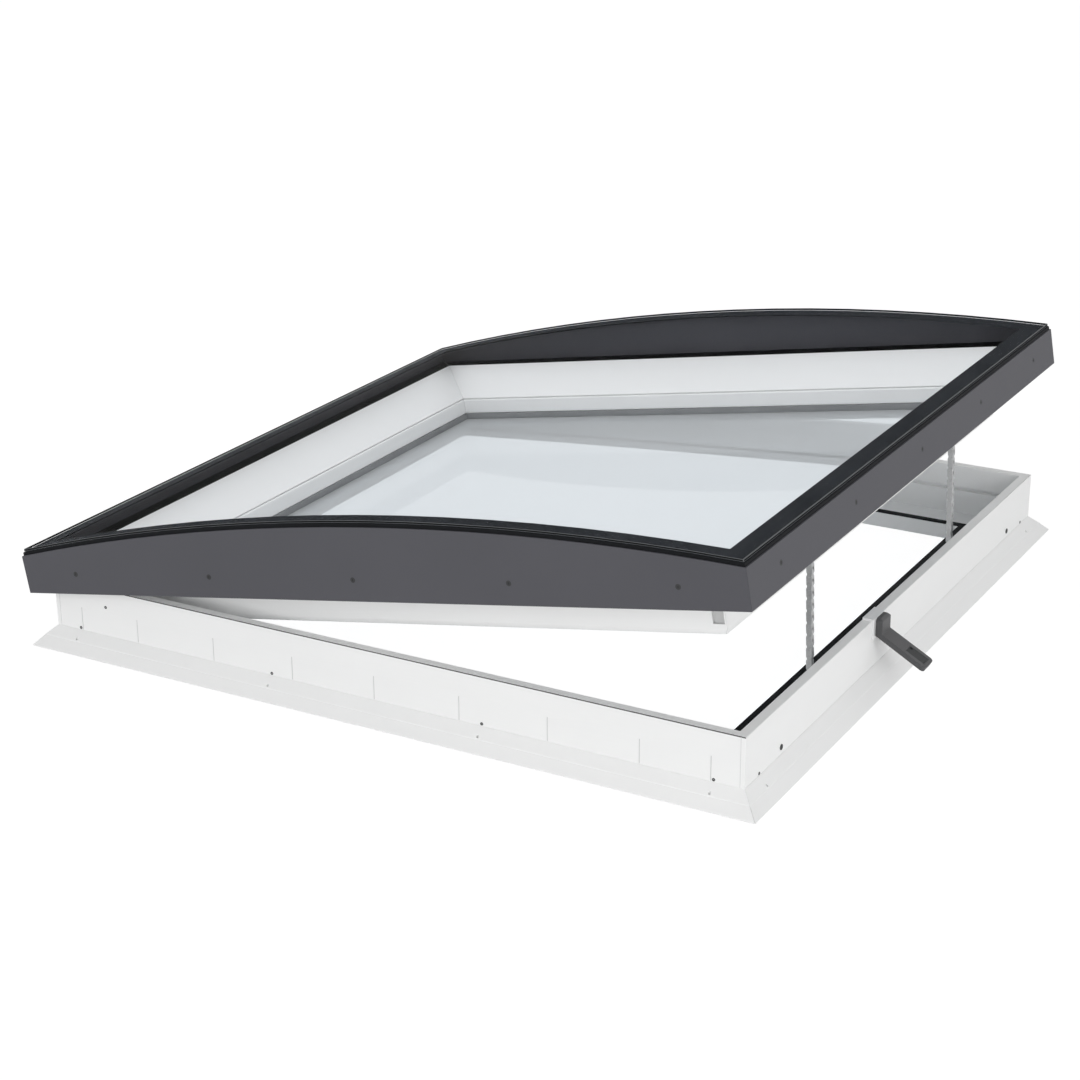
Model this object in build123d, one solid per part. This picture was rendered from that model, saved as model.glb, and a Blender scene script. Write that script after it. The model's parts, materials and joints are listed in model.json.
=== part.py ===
from build123d import *
import math
import os

# Opening roof skylight with a curved outer glass, in millimetres.
# +X runs from the hinge side to the opening side, +Y to the back, +Z up.
# The origin is the middle of the kerb, on the roof.

# Kerb, the fixed white frame: offsets run inwards from the face of its outer wall
kerb_width = 1640.0
kerb_depth = 1640.0
kerb_height = 150.0
kerb_skin = 4.0
wall_foot = 43.0
foot_groove_height = 2.0
foot_groove_depth = 1.2
rim_width = 22.0
rim_round = 2.0
rim_foot_offset = 36.0
groove_top = 101.0
groove_height = 7.0
groove_depth = 6.0
inner_wall_offset = 42.0
ledge_drop = 114.0
ledge_offset = 130.0

# Roof flange round the foot of the kerb
flange_reach = 41.0
flange_edge = 2.5
flange_step = 1.2
flange_step_share = 0.5
fixing_hole_radius = 2.75
fixing_hole_reach = 16.0
fixing_end_inset = 64.0
fixing_inner_share = 1 / 3

# Alignment marks cut into the front and back walls
mark_width = 2.0
mark_depth = 0.8
mark_height = 54.0
mark_spacing = 200.0
mark_count = 7
end_mark_inset = 70.0
corner_line_inset = 10.0
corner_line_width = 1.0
corner_line_depth = 0.5

# Seal on the kerb's ledge
seal_width = 18.0
seal_height = 3.0
closing_gap = 0.3

# Skirt of the sash: offsets run inwards from its outer face, heights up from its lower edge
cover_overhang = 42.0
skirt_height = 83.5
skirt_wall = 3.0
skirt_lip = 12.0
shelf_width = 30.0
shelf_thickness = 3.0
arch_rise = 70.6
cleat_leg = 60.0
cleat_height = 30.0
cleat_thickness = 3.0

# Curved glass on its seal, with a black border print
dome_seal_height = 7.0
dome_seal_inset = 3.0
border_thickness = 0.5
border_width = 50.0
layer_gap = 0.2
glass_thickness = 6.0
glass_inset = 5.0

# Sash frame
sash_top = 58.0
sash_flange = 8.0
sash_tab_width = 5.0
sash_tab_drop = 22.0
sash_flange_width = 48.0
sash_corner_round = 4.0
slope_foot_offset = 130.0
slope_foot_drop = 14.0
sash_back_offset = 46.0
sash_wall_offset = 116.0
sash_wall_drop = 35.0
sash_wall = 10.0
sash_drop = 91.0
sash_lip_offset = 176.0
sash_lip = 3.5
sash_bevel_width = 5.0
sash_bevel_height = 12.0
sash_skin = 4.0
chamber_top = 20.0
pocket_width = 24.0
pocket_depth = 7.0
pocket_height = 34.0
pocket_inset = 4.0

# Flat insulating glass, its gasket and beads
pane_thickness = 4.0
pane_gap = 10.0
pane_clearance = 2.0
spacer_inset = 3.0
spacer_width = 8.0
bead_width = 8.0
bead_height = 37.0
bead_bevel = 2.0
bead_top_gap = 3.0
gasket_width = 9.0

# Hinges on the left
hinge_offset = 34.0
hinge_rise = 41.2
open_angle = 9.9
hinge_spacing = 560.0
hinge_width = 80.0
knuckle_radius = 7.0
knuckle_length = 32.0
knuckle_gap = 0.5
pin_radius = 4.0
pin_clearance = 0.05
pin_stand = 2.0
leaf_thickness = 3.0
leaf_drop = 62.0
leaf_clearance = 0.6
sash_leaf_inset = 1.0

# Chain drives beside the opening rail
drive_spacing = 800.0
drive_width = 22.0
drive_height = 34.0
drive_length = 420.0
drive_round = 3.0
drive_cap_length = 12.0
outlet_length = 24.0
outlet_depth = 14.0
outlet_width = 15.0

# Push chains, drawn out to the sash
chain_offset = 50.0
chain_pitch = 13.0
chain_plate_width = 13.0
chain_plate_thickness = 2.5
chain_core = 7.0
chain_foot_gap = 0.3
chain_end_length = 14.0
chain_end_width = 10.0

# Brackets that hold the chains' ends on the sash
bracket_pin_offset = 93.0
bracket_pin_drop = 45.0
bracket_ear = 6.0
bracket_ear_thickness = 3.0
bracket_plate_width = 70.0
bracket_plate_height = 36.0
bracket_plate_thickness = 3.0
bracket_slack = 0.5
bracket_pin_radius = 2.5
bracket_pin_stand = 1.5

# Rain sensor clipped over the opening rail
sensor_place = -170.0
sensor_width = 47.0
sensor_head_depth = 15.0
sensor_reach = 112.5
sensor_drop = 88.5
sensor_slope = 29.0
sensor_arm_thickness = 12.0
sensor_bevel = 6.0
sensor_tip_round = 9.0
sensor_pad_length = 46.0
sensor_pad_width = 27.0
sensor_pad_depth = 2.5
sensor_pad_inset = 9.0
sensor_pad_thickness = 1.5
sensor_pad_gap = 0.3
clip_width = 66.0
clip_thickness = 5.0
clip_drop = 40.0
clip_rim_inset = 1.0

# Plugs in the cable entries of the kerb
plug_place = 655.0
plug_height = 60.0
plug_radius = 6.0
plug_depth = 3.0
plug_stand = 1.5

# Allowance for cuts that run past a solid
overrun = 5.0
mitre_height = 400.0

cover_width = kerb_width + 2 * cover_overhang
cover_depth = kerb_depth + 2 * cover_overhang
ledge_height = kerb_height - ledge_drop
closed_height = ledge_height + seal_height + closing_gap + sash_drop
hinge_x = hinge_offset - cover_width / 2
hinge_z = closed_height + hinge_rise
hinge_axis = Axis((hinge_x, 0, hinge_z), (0, -1, 0))
hinge_places = (-hinge_spacing, 0, hinge_spacing)
drive_places = {"front": -drive_spacing / 2, "back": drive_spacing / 2}

outward = {"front": (0, -1), "back": (0, 1), "hinge": (-1, 0), "opening": (1, 0)}


# Shared shapes

def save(shape, node):
    """Writes one solid as a node."""
    export_step(shape, f"parts/{node}.step")


def save_group(solids, node):
    """Writes separate solids as one node."""
    export_step(Compound(children=list(solids)), f"parts/{node}.step")


def opened(shape):
    """Takes a sash piece from its own heights to its place with the sash open."""
    return (Pos(0, 0, closed_height) * shape).rotate(hinge_axis, open_angle)


def opened_point(x, z):
    """Where a point of the closed sash goes when the sash is open."""
    turn = math.radians(open_angle)
    dx = x - hinge_x
    dz = z - hinge_z
    out_x = hinge_x + dx * math.cos(turn) - dz * math.sin(turn)
    out_z = hinge_z + dx * math.sin(turn) + dz * math.cos(turn)
    return out_x, out_z


def side_length(side, width, depth):
    """Length of a side of a rectangle in plan."""
    return width if outward[side][0] == 0 else depth


def section_plane(side, width, depth):
    """Plane across a side: its x runs inwards from the outer face, its y runs up."""
    out_x, out_y = outward[side]
    origin = (out_x * width / 2, out_y * depth / 2, 0)
    return Plane(origin=origin, x_dir=(-out_x, -out_y, 0), z_dir=(-out_y, out_x, 0))


def plan_plane(side, width, depth):
    """Plane in plan on a side: its x runs along the side, its y runs inwards."""
    out_x, out_y = outward[side]
    origin = (out_x * width / 2, out_y * depth / 2, 0)
    return Plane(origin=origin, x_dir=(-out_y, out_x, 0), z_dir=(0, 0, 1))


def mitre_wedge(side, width, depth, reach_out, reach_in):
    """Block over one side of a frame, cut at 45 degrees through the frame's corners."""
    half = side_length(side, width, depth) / 2
    corners = [
        (-half - reach_out, -reach_out),
        (half + reach_out, -reach_out),
        (half - reach_in, reach_in),
        (reach_in - half, reach_in),
    ]
    plan = plan_plane(side, width, depth) * Polygon(*corners, align=None)
    return extrude(plan, amount=mitre_height, both=True)


def mitred_rail(section, side, width, depth, reach_out, reach_in):
    """A straight profile along one side of a frame, with mitred ends."""
    length = side_length(side, width, depth)
    bar = extrude(section_plane(side, width, depth) * section, amount=length, both=True)
    return bar & mitre_wedge(side, width, depth, reach_out + overrun, reach_in + overrun)


def inset(corners, skin):
    """Corners of an outline moved inwards by a skin, for corners that run anticlockwise."""
    moved = []
    count = len(corners)
    for i in range(count):
        before = Vector(*corners[i - 1])
        here = Vector(*corners[i])
        after = Vector(*corners[(i + 1) % count])
        first = (here - before).normalized()
        second = (after - here).normalized()
        bend = first.X * second.Y - first.Y * second.X
        slide = skin * (1 - first.dot(second)) / bend
        inwards = Vector(-first.Y, first.X) * skin
        point = here + inwards - first * slide
        moved.append((point.X, point.Y))
    return moved


def ring(width, depth, outer_offset, inner_offset, low, high):
    """Rectangular ring in plan, between two offsets and two heights."""
    outer = Rectangle(width - 2 * outer_offset, depth - 2 * outer_offset)
    inner = Rectangle(width - 2 * inner_offset, depth - 2 * inner_offset)
    return Pos(0, 0, low) * extrude(outer - inner, amount=high - low)


def plate(x_low, x_high, y_low, y_high, z_low, z_high):
    """Rectangular plate between limits."""
    block = Box(x_high - x_low, y_high - y_low, z_high - z_low, align=(Align.MIN, Align.MIN, Align.MIN))
    return Pos(x_low, y_low, z_low) * block


# Arch of the skirt and the curved glass

arch_radius = ((cover_width / 2) ** 2 + arch_rise ** 2) / (2 * arch_rise)
arch_centre = skirt_height + arch_rise - arch_radius


def arch_height(x, rise):
    """Height of the arch at x, for a surface that lies rise above the skirt's top."""
    return arch_centre + math.sqrt((arch_radius + rise) ** 2 - x ** 2)


def arch_edge(rise, half):
    """Arc of the arch from one side to the other."""
    start = (-half, arch_height(half, rise))
    end = (half, arch_height(half, rise))
    return ThreePointArc(start, (0, arch_height(0, rise)), end)


def arch_layer(rise_low, rise_high):
    """Curved layer over the whole cover, between two heights above the skirt's top."""
    half = cover_width / 2 + overrun
    low = arch_edge(rise_low, half)
    high = arch_edge(rise_high, half)
    outline = [low, high, Line(low @ 0, high @ 0), Line(low @ 1, high @ 1)]
    return extrude(Plane.XZ * make_face(outline), amount=cover_depth / 2 + overrun, both=True)


def under_arch():
    """All that lies between the skirt's lower edge and the arch."""
    half = cover_width / 2 + overrun
    top = arch_edge(0, half)
    foot = Polyline(top @ 0, (-half, 0), (half, 0), top @ 1)
    return extrude(Plane.XZ * make_face([top, foot]), amount=cover_depth / 2 + overrun, both=True)


# Kerb

def kerb_section():
    """Hollow profile of the kerb with its rim, groove, ledge and roof flange."""
    groove_floor = rim_foot_offset - groove_depth
    groove_low = groove_top - groove_height
    step_offset = -flange_reach * flange_step_share
    step_low = wall_foot + (flange_edge - wall_foot) * flange_step_share
    upper = [
        (inner_wall_offset, ledge_height),
        (inner_wall_offset, groove_low),
        (groove_floor, groove_low),
        (groove_floor, groove_top),
        (rim_foot_offset, groove_top),
        (rim_width, kerb_height),
        (0, kerb_height),
    ]
    lower = [
        (0, wall_foot + foot_groove_height),
        (foot_groove_depth, wall_foot + foot_groove_height),
        (foot_groove_depth, wall_foot),
        (0, wall_foot),
        (step_offset, step_low + flange_step),
        (step_offset, step_low),
        (-flange_reach, flange_edge),
        (-flange_reach, 0),
        (ledge_offset, 0),
        (ledge_offset, ledge_height),
    ]
    outline = Polygon(*upper, *lower, align=None)
    outline = fillet(outline.vertices().group_by(Axis.Y)[-1], rim_round)
    tall_chamber = inset([(0, ledge_height), *upper], kerb_skin)
    foot = [(0, 0), (ledge_offset, 0), (ledge_offset, ledge_height), (0, ledge_height)]
    foot_chamber = inset(foot, kerb_skin)
    return outline - Polygon(*tall_chamber, align=None) - Polygon(*foot_chamber, align=None)


def fixing_holes(side):
    """Holes through the roof flange along one side."""
    place = plan_plane(side, kerb_width, kerb_depth)
    end = side_length(side, kerb_width, kerb_depth) / 2 - fixing_end_inset
    inner = end * fixing_inner_share
    places = (-end, -inner, inner, end) if outward[side][0] == 0 else (-end, end)
    holes = []
    for along in places:
        hole = Pos(along, -fixing_hole_reach, 0) * Cylinder(fixing_hole_radius, wall_foot * 2)
        holes.append(place * hole)
    return holes


def wall_marks(side):
    """Shallow upright marks that rise from the foot of a wall, and a fine line beside each corner."""
    place = plan_plane(side, kerb_width, kerb_depth)
    middle = (mark_count - 1) / 2
    places = [(i - middle) * mark_spacing for i in range(mark_count)]
    end = kerb_width / 2 - end_mark_inset
    marks = []
    for along in (-end, *places, end):
        cut = plate(along - mark_width / 2, along + mark_width / 2, -overrun, mark_depth,
                    wall_foot + foot_groove_height, wall_foot + mark_height)
        marks.append(place * cut)
    corner = kerb_width / 2 - corner_line_inset
    half = corner_line_width / 2
    for along in (-corner, corner):
        cut = plate(along - half, along + half, -overrun, corner_line_depth,
                    wall_foot + foot_groove_height, kerb_height + overrun)
        marks.append(place * cut)
    return marks


def plug_planes():
    """Planes on the kerb's outer walls where cables can come in, with z outwards."""
    planes = []
    for along in (-plug_place, plug_place):
        planes.append(Plane(origin=(kerb_width / 2, along, plug_height), z_dir=(1, 0, 0)))
    return planes


def kerb_rail(side):
    """One mitred rail of the kerb with its holes and marks."""
    rail = mitred_rail(kerb_section(), side, kerb_width, kerb_depth, flange_reach, ledge_offset)
    for hole in fixing_holes(side):
        rail -= hole
    if side in ("front", "back"):
        for mark in wall_marks(side):
            rail -= mark
    if side == "opening":
        for place in plug_planes():
            rail -= place * Cylinder(plug_radius, 2 * plug_depth)
    return rail


def kerb_seal():
    """Black seal on the inner end of the ledge."""
    start = ledge_offset - seal_width
    return ring(kerb_width, kerb_depth, start, ledge_offset, ledge_height, ledge_height + seal_height)


def cable_plugs():
    """Round plugs in the cable entries."""
    plugs = []
    for place in plug_planes():
        plug = Cylinder(plug_radius, plug_depth + plug_stand, align=(Align.CENTER, Align.CENTER, Align.MIN))
        plugs.append(place * Pos(0, 0, -plug_depth) * plug)
    return plugs


# Skirt and curved glass

def skirt_ring():
    """Whole skirt: wall, lower lip and the curved shelf that carries the seal."""
    top = skirt_height + arch_rise
    wall = ring(cover_width, cover_depth, 0, skirt_wall, 0, top) & under_arch()
    band = ring(cover_width, cover_depth, 0, shelf_width, 0, top + overrun)
    shelf = band & arch_layer(-shelf_thickness, 0)
    lip = ring(cover_width, cover_depth, 0, skirt_lip, 0, skirt_wall)
    return wall + shelf + lip


def skirt_cleats():
    """Corner angles inside the skirt that hold its four sides together."""
    half_x = cover_width / 2 - skirt_wall
    half_y = cover_depth / 2 - skirt_wall
    low = skirt_wall
    cleats = []
    for sign_x in (-1, 1):
        for sign_y in (-1, 1):
            leg = Rectangle(cleat_leg, cleat_leg, align=(Align.MIN, Align.MIN))
            inner = Pos(cleat_thickness, cleat_thickness) * leg
            angle = extrude(leg - inner, amount=cleat_height)
            turn = {(-1, -1): 0, (1, -1): 90, (1, 1): 180, (-1, 1): 270}[(sign_x, sign_y)]
            cleats.append(Pos(sign_x * half_x, sign_y * half_y, low) * Rot(0, 0, turn) * angle)
    return cleats


def dome_seal():
    """Black seal between the skirt's shelf and the curved glass."""
    top = skirt_height + arch_rise + dome_seal_height
    band = ring(cover_width, cover_depth, dome_seal_inset, shelf_width, 0, top + overrun)
    return band & arch_layer(0, dome_seal_height)


def glass_border():
    """Black print round the underside of the curved glass."""
    low = dome_seal_height + layer_gap
    top = skirt_height + arch_rise + low + border_thickness
    band = ring(cover_width, cover_depth, glass_inset, glass_inset + border_width, 0, top + overrun)
    return band & arch_layer(low, low + border_thickness)


def curved_glass():
    """Outer pane, bent one way."""
    low = dome_seal_height + border_thickness + 2 * layer_gap
    size_x = cover_width - 2 * glass_inset
    size_y = cover_depth - 2 * glass_inset
    top = skirt_height + arch_rise + low + glass_thickness
    block = extrude(Rectangle(size_x, size_y), amount=top + overrun)
    return block & arch_layer(low, low + glass_thickness)


# Sash frame and its flat glass

def sash_section():
    """Profile of the sash: flange under the skirt, sloping wall, upright wall and glass lip."""
    flange_low = sash_top - sash_flange
    tab_inner = skirt_wall + sash_tab_width
    wall_inner = sash_wall_offset + sash_wall
    lip_top = sash_lip - sash_drop
    outline = [
        (skirt_wall, sash_top - sash_tab_drop),
        (tab_inner, sash_top - sash_tab_drop),
        (tab_inner, flange_low),
        (sash_back_offset, flange_low),
        (sash_wall_offset, -sash_wall_drop),
        (sash_wall_offset, sash_bevel_height - sash_drop),
        (sash_wall_offset + sash_bevel_width, -sash_drop),
        (sash_lip_offset, -sash_drop),
        (sash_lip_offset, lip_top),
        (wall_inner, lip_top),
        (wall_inner, -slope_foot_drop),
        (slope_foot_offset, -slope_foot_drop),
        (sash_flange_width + sash_corner_round, sash_top - sash_corner_round),
        (sash_flange_width, sash_top),
        (skirt_wall, sash_top),
    ]
    fall = (sash_wall_offset - sash_back_offset) / (flange_low + sash_wall_drop)
    run = slope_foot_offset - sash_flange_width - sash_corner_round
    rise = sash_top - sash_corner_round + slope_foot_drop
    chamber_back = sash_back_offset + (flange_low - chamber_top) * fall
    chamber_front = slope_foot_offset - (chamber_top + slope_foot_drop) * run / rise
    chamber_side = (slope_foot_offset - wall_inner) * rise / run - slope_foot_drop
    chamber = [
        (chamber_back, chamber_top),
        (sash_wall_offset, -sash_wall_drop),
        (wall_inner, -sash_wall_drop),
        (wall_inner, chamber_side),
        (chamber_front, chamber_top),
    ]
    return Polygon(*outline, align=None) - Polygon(*inset(chamber, sash_skin), align=None)


def sash_rail(side):
    """One mitred rail of the sash; the front and back rails have a pocket near the opening side."""
    rail = mitred_rail(sash_section(), side, cover_width, cover_depth, 0, sash_lip_offset)
    if side in ("front", "back"):
        face = cover_depth / 2 - sash_wall_offset
        start = cover_width / 2 - sash_wall_offset - pocket_inset
        low = -sash_wall_drop - pocket_height
        sign = outward[side][1]
        y_low, y_high = sorted((sign * (face - pocket_depth), sign * (face + overrun)))
        rail -= plate(start - pocket_width, start, y_low, y_high, low, -sash_wall_drop)
    return rail


def pane(low):
    """One flat pane inside the sash, with its lower face at a height."""
    edge = sash_wall_offset + sash_wall + pane_clearance
    size_x = cover_width - 2 * edge
    size_y = cover_depth - 2 * edge
    return Pos(0, 0, low) * extrude(Rectangle(size_x, size_y), amount=pane_thickness)


lower_pane_low = sash_lip - sash_drop
spacer_low = lower_pane_low + pane_thickness
upper_pane_low = spacer_low + pane_gap
upper_pane_top = upper_pane_low + pane_thickness


def pane_spacer():
    """Spacer frame between the two flat panes."""
    start = sash_wall_offset + sash_wall + pane_clearance + spacer_inset
    return ring(cover_width, cover_depth, start, start + spacer_width, spacer_low, upper_pane_low)


def bead_section():
    """Profile of a glazing bead, a narrow gap below the foot of the sloping wall."""
    back = sash_wall_offset + sash_wall
    low = -slope_foot_drop - bead_top_gap - bead_height
    outline = Pos(back, low) * Rectangle(bead_width, bead_height, align=(Align.MIN, Align.MIN))
    return chamfer(outline.vertices().group_by(Axis.X)[-1], bead_bevel)


def glazing_gasket():
    """Gasket between the beads and the upper flat pane."""
    back = sash_wall_offset + sash_wall
    high = -slope_foot_drop - bead_top_gap - bead_height
    return ring(cover_width, cover_depth, back, back + gasket_width, upper_pane_top, high)


# Hinges

def knuckle(y_low, y_high):
    """Round eye of a hinge leaf between two places along the pin."""
    tube = Cylinder(knuckle_radius, y_high - y_low) - Cylinder(pin_radius + pin_clearance, y_high - y_low)
    return Pos(hinge_x, (y_low + y_high) / 2, hinge_z) * Rot(90, 0, 0) * tube


def hinge_bore(length):
    """Cut that clears the pin through a whole hinge."""
    return Pos(hinge_x, 0, hinge_z) * Rot(90, 0, 0) * Cylinder(pin_radius + pin_clearance, length)


def kerb_leaf():
    """Leaf on the kerb's outer wall with one knuckle."""
    half = hinge_width / 2
    knuckle_end = -knuckle_gap / 2
    knuckle_start = knuckle_end - knuckle_length
    wall = -kerb_width / 2
    neck = hinge_z - knuckle_radius - leaf_clearance
    low = hinge_z - leaf_drop
    leaf = plate(wall - leaf_thickness, wall, -half, half, low, neck)
    leaf += plate(wall - leaf_thickness, wall, knuckle_start, knuckle_end, neck, hinge_z)
    leaf += knuckle(knuckle_start, knuckle_end)
    return leaf - hinge_bore(2 * hinge_width)


def sash_leaf():
    """Leaf under the sash's flange with the other knuckle."""
    half = hinge_width / 2
    knuckle_start = knuckle_gap / 2
    knuckle_end = knuckle_start + knuckle_length
    flange_low = sash_top - sash_flange
    start = -cover_width / 2 + skirt_wall + sash_tab_width + sash_leaf_inset
    end = hinge_x - knuckle_radius - sash_leaf_inset
    leaf = plate(start, end, -half, half, flange_low - leaf_thickness, flange_low)
    leaf += plate(start, hinge_x, knuckle_start, knuckle_end, hinge_rise, flange_low)
    leaf += Pos(0, 0, -closed_height) * knuckle(knuckle_start, knuckle_end)
    return leaf - Pos(0, 0, -closed_height) * hinge_bore(2 * hinge_width)


def hinge_pin():
    """Plain hinge pin through both knuckles, a little longer than they are."""
    length = 2 * (knuckle_length + pin_stand) + knuckle_gap
    return Pos(hinge_x, 0, hinge_z) * Rot(90, 0, 0) * Cylinder(pin_radius, length)


def at_hinges(shape):
    """A copy of a piece at each hinge."""
    return [Pos(0, along, 0) * shape for along in hinge_places]


# Chain drives

drive_outer = kerb_width / 2 - inner_wall_offset
drive_inner = drive_outer - drive_width
drive_top = ledge_height + drive_height
chain_x = kerb_width / 2 - chain_offset
outlet_floor = drive_top - outlet_depth


def drive_housing(place):
    """Long housing on the ledge with an outlet for the chain in its top."""
    half = drive_length / 2 - drive_cap_length
    body = plate(drive_inner, drive_outer, place - half, place + half, ledge_height, drive_top)
    body = fillet(body.edges().filter_by(Axis.Y).group_by(Axis.Z)[-1], drive_round)
    outlet = plate(chain_x - outlet_width / 2, chain_x + outlet_width / 2,
                   place - outlet_length / 2, place + outlet_length / 2, outlet_floor, drive_top + overrun)
    return body - outlet


def drive_caps():
    """Caps on both ends of both drive housings."""
    caps = []
    for place in drive_places.values():
        for sign in (-1, 1):
            start = place + sign * (drive_length / 2 - drive_cap_length)
            end = place + sign * drive_length / 2
            y_low, y_high = sorted((start, end))
            cap = plate(drive_inner, drive_outer, y_low, y_high, ledge_height, drive_top)
            outer = cap.faces().sort_by(Axis.Y)[0 if sign < 0 else -1]
            top = outer.edges().sort_by(Axis.Z)[-1]
            rims = cap.edges().filter_by(Axis.Y).group_by(Axis.Z)[-1]
            caps.append(fillet([*rims, top], drive_round))
    return caps


# Push chains

bracket_pin_x = cover_width / 2 - bracket_pin_offset


def chain_plate(x_low, x_high, z_low, z_high):
    """Link plate with pointed ends, between two pins."""
    half = chain_plate_width / 2
    corners = [
        (0, z_low - half),
        (half, z_low),
        (half, z_high),
        (0, z_high + half),
        (-half, z_high),
        (-half, z_low),
    ]
    face = Plane(origin=(x_low, 0, 0), x_dir=(0, 1, 0), z_dir=(1, 0, 0)) * Polygon(*corners, align=None)
    return extrude(face, amount=x_high - x_low)


def chain_run():
    """Run of push chain from its outlet to the eye at its upper end: pairs of plates and blocks in turn."""
    eye_x, eye_z = opened_point(bracket_pin_x, closed_height - bracket_pin_drop)
    start_z = outlet_floor + chain_foot_gap + chain_plate_width / 2
    lean = math.atan2(eye_x - chain_x, eye_z - start_z)
    length = math.hypot(eye_x - chain_x, eye_z - start_z)
    run = length - chain_end_length
    count = round(run / chain_pitch)
    pitch = run / count
    core = chain_core / 2
    links = []
    for i in range(count):
        low = i * pitch
        high = low + pitch
        if i % 2:
            links.append(chain_plate(-core, core, low, high))
        else:
            links.append(chain_plate(core, core + chain_plate_thickness, low, high))
            links.append(chain_plate(-core - chain_plate_thickness, -core, low, high))
    end_half = chain_end_width / 2
    bar = plate(-core, core, -end_half, end_half, run - end_half, length)
    eye = Pos(0, 0, length) * Rot(90, 0, 0) * Cylinder(end_half, chain_end_width)
    bore_radius = bracket_pin_radius + pin_clearance
    bore = Pos(0, 0, length) * Rot(90, 0, 0) * Cylinder(bore_radius, 2 * chain_end_width)
    chain = links[0].fuse(*links[1:], bar, eye) - bore
    return Pos(chain_x, 0, start_z) * Rot(0, math.degrees(lean), 0) * chain


def chain_bracket():
    """Bracket on the sash's upright wall with two ears for the chain's eye."""
    face = cover_width / 2 - sash_wall_offset
    low = -sash_wall_drop - bracket_plate_height
    half = bracket_plate_width / 2
    bracket = plate(face, face + bracket_plate_thickness, -half, half, low, -sash_wall_drop)
    ear_low = -bracket_pin_drop - bracket_ear
    ear_high = bracket_ear - bracket_pin_drop
    inner = chain_end_width / 2 + bracket_slack
    for sign in (-1, 1):
        y_low, y_high = sorted((sign * inner, sign * (inner + bracket_ear_thickness)))
        bracket += plate(face, bracket_pin_x, y_low, y_high, ear_low, ear_high)
        tip = Cylinder(bracket_ear, bracket_ear_thickness)
        bracket += Pos(bracket_pin_x, (y_low + y_high) / 2, -bracket_pin_drop) * Rot(90, 0, 0) * tip
    bore = Cylinder(bracket_pin_radius + pin_clearance, bracket_plate_width)
    return bracket - Pos(bracket_pin_x, 0, -bracket_pin_drop) * Rot(90, 0, 0) * bore


def bracket_pin():
    """Pin through a bracket's ears and the chain's eye."""
    half = chain_end_width / 2 + bracket_slack + bracket_ear_thickness + bracket_pin_stand
    pin = Cylinder(bracket_pin_radius, 2 * half)
    return Pos(bracket_pin_x, 0, -bracket_pin_drop) * Rot(90, 0, 0) * pin


def at_drives(shape):
    """A copy of a piece at each chain drive."""
    return [Pos(0, along, 0) * shape for along in drive_places.values()]


# Rain sensor

sensor_x = kerb_width / 2 + clip_thickness
sensor_top = kerb_height + clip_thickness


def sensor_clip():
    """Bent clip over the rim of the opening rail."""
    outer = kerb_width / 2
    inner = outer - rim_width + clip_rim_inset
    low_y = sensor_place - clip_width / 2
    high_y = sensor_place + clip_width / 2
    clip = plate(inner, sensor_x, low_y, high_y, kerb_height, sensor_top)
    clip += plate(outer, sensor_x, low_y, high_y, kerb_height - clip_drop, kerb_height)
    return clip


sensor_tip_x = sensor_x + sensor_reach
sensor_tip_z = sensor_top - sensor_drop
sensor_fall = math.tan(math.radians(sensor_slope))


def sensor_outline():
    """Side view of the sensor: a head against the clip and an arm that falls away from the wall."""
    thick_x = sensor_arm_thickness * math.sin(math.radians(sensor_slope))
    thick_z = sensor_arm_thickness * math.cos(math.radians(sensor_slope))
    head_x = sensor_x + sensor_head_depth
    under_x = sensor_tip_x - thick_x
    under_z = sensor_tip_z - thick_z
    return [
        (sensor_x, sensor_top),
        (sensor_x, under_z + (under_x - sensor_x) * sensor_fall),
        (under_x, under_z),
        (sensor_tip_x, sensor_tip_z),
        (head_x, sensor_tip_z + (sensor_tip_x - head_x) * sensor_fall),
        (head_x, sensor_top - sensor_bevel),
        (head_x - sensor_bevel, sensor_top),
    ]


def sensor_plane():
    """Plane on the arm's upper face at its tip: x runs down to the tip, z points away from the arm."""
    turn = math.radians(sensor_slope)
    down = (math.cos(turn), 0, -math.sin(turn))
    away = (math.sin(turn), 0, math.cos(turn))
    return Plane(origin=(sensor_tip_x, sensor_place, sensor_tip_z), x_dir=down, z_dir=away)


def sensor_recess(length, width, depth, thickness):
    """Rectangular slab under the arm's upper face, near the tip."""
    middle = -sensor_pad_inset - sensor_pad_length / 2
    slab = Box(length, width, thickness, align=(Align.CENTER, Align.CENTER, Align.MIN))
    return sensor_plane() * Pos(middle, 0, -depth) * slab


def sensor_body():
    """Moulded head and arm with a recess for the sensing pad."""
    side = Plane(origin=(0, sensor_place, 0), x_dir=(1, 0, 0), z_dir=(0, -1, 0))
    body = extrude(side * Polygon(*sensor_outline(), align=None), amount=sensor_width / 2, both=True)
    tip_face = body.faces().sort_by(Axis.X)[-1]
    body = fillet(tip_face.edges().filter_by(Axis.Y, reverse=True), sensor_tip_round)
    body = chamfer(body.edges().group_by(Axis.Z)[-1].filter_by(Axis.X), sensor_bevel)
    cut_depth = sensor_pad_depth + overrun
    return body - sensor_recess(sensor_pad_length, sensor_pad_width, sensor_pad_depth, cut_depth)


def sensor_pad():
    """Flat sensing pad on the floor of the recess."""
    length = sensor_pad_length - 2 * sensor_pad_gap
    width = sensor_pad_width - 2 * sensor_pad_gap
    return sensor_recess(length, width, sensor_pad_depth, sensor_pad_thickness)


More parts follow.
